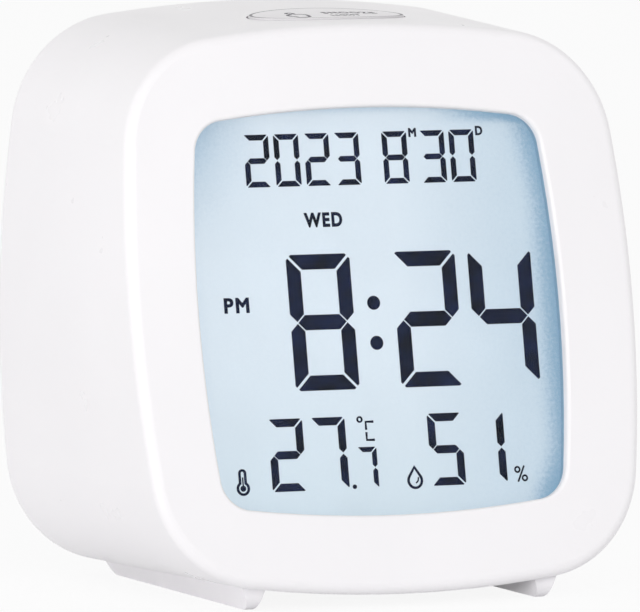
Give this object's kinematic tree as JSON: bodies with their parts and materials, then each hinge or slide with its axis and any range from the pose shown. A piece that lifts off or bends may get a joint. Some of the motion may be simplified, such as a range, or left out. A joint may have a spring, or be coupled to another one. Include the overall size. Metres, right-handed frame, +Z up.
{
  "type": "thermometer hygrometer clock",
  "caption": "White tabletop clock with a leaning rounded-square face, lit display for time, temperature and humidity, oval snooze button on top, rear keys and a hinged battery door.",
  "frame": {"origin": "on the floor, under the middle of the casing", "axes": "+X to the right of someone facing the display, +Y from the display towards the rear cover, +Z up"},
  "size_m": [0.08, 0.05, 0.0802],
  "materials": {
    "white_shell": "smooth white moulded ABS",
    "white_matte": "fine satin white moulded ABS",
    "rail_plastic": "soft satin white plastic",
    "clear_lens": "clear polished acrylic",
    "pale_blue_plastic": "translucent pale blue plastic lit from inside",
    "display_glass": "pale blue lit liquid crystal glass",
    "segment_ink": "dark lit segments",
    "clear_guide": "clear acrylic light guide",
    "white_film": "white reflector film",
    "board_green": "green solder mask",
    "lamp_white": "white lamp body",
    "contact_rubber": "layered silicone rubber",
    "black_resin": "black resin",
    "can_metal": "drawn metal can",
    "capacitor_sleeve": "dark sleeve",
    "screw_steel": "zinc plated steel",
    "switch_black": "black switch housing",
    "plunger_black": "black acetal plunger",
    "buzzer_black": "black buzzer can",
    "sensor_black": "small sensor package",
    "cell_sleeve": "plain printed cell sleeve",
    "contact_metal": "bright nickel plated spring steel",
    "ribbon_grey": "grey flat cable",
    "lead_red": "insulated lead"
  },
  "bodies": {
    "clock": {"backlight_leds": "lamp_white", "backlight_strip": "board_green", "battery_cells": "cell_sleeve", "battery_leads": "lead_red", "battery_plates": "contact_metal", "battery_springs": "contact_metal", "board_ribbon": "ribbon_grey", "buzzer": "buzzer_black", "capacitor": "capacitor_sleeve", "chip_blob": "black_resin", "climate_sensor": "sensor_black", "cover_screws": "screw_steel", "crystal": "can_metal", "front_shell": "white_shell", "key_board": "board_green", "key_board_screws": "screw_steel", "key_switches": "switch_black", "lcd_frame": "pale_blue_plastic", "lcd_glass": "display_glass", "lcd_segments": "segment_ink", "left_foot_rail": "rail_plastic", "light_guide": "clear_guide", "main_pcb": "board_green", "pcb_screws": "screw_steel", "rear_cover": "white_matte", "reflector_sheet": "white_film", "right_foot_rail": "rail_plastic", "snooze_board": "board_green", "snooze_board_screws": "screw_steel", "snooze_leads": "lead_red", "snooze_switch": "switch_black", "window_lens": "clear_lens", "zebra_strip": "contact_rubber"},
    "snooze": {"snooze_button": "white_matte", "snooze_plunger": "plunger_black"},
    "door": {"battery_door": "white_matte"},
    "mode": {"mode_key": "white_matte", "mode_plunger": "plunger_black"},
    "set": {"set_key": "white_matte", "set_plunger": "plunger_black"},
    "up": {"up_key": "white_matte", "up_plunger": "plunger_black"},
    "down": {"down_key": "white_matte", "down_plunger": "plunger_black"}
  },
  "joints": [
    {"name": "snooze_press", "type": "slide", "parent": "clock", "child": "snooze", "axis": [0, 0, -1], "range_m": [0, 0.0006], "stiffness_N_per_m": 2500, "springref_m": -0.0002},
    {"name": "mode_press", "type": "slide", "parent": "clock", "child": "mode", "axis": [0, -1, 0], "range_m": [0, 0.0005], "stiffness_N_per_m": 2500, "springref_m": -0.0002},
    {"name": "set_press", "type": "slide", "parent": "clock", "child": "set", "axis": [0, -1, 0], "range_m": [0, 0.0005], "stiffness_N_per_m": 2500, "springref_m": -0.0002},
    {"name": "up_press", "type": "slide", "parent": "clock", "child": "up", "axis": [0, -1, 0], "range_m": [0, 0.0005], "stiffness_N_per_m": 2500, "springref_m": -0.0002},
    {"name": "down_press", "type": "slide", "parent": "clock", "child": "down", "axis": [0, -1, 0], "range_m": [0, 0.0005], "stiffness_N_per_m": 2500, "springref_m": -0.0002},
    {"name": "battery_door_hinge", "type": "hinge", "parent": "clock", "child": "door", "pos_m": [0, 0.02318, 0.0125], "axis": [-1, 0, 0], "range_deg": [0, 85]}
  ]
}
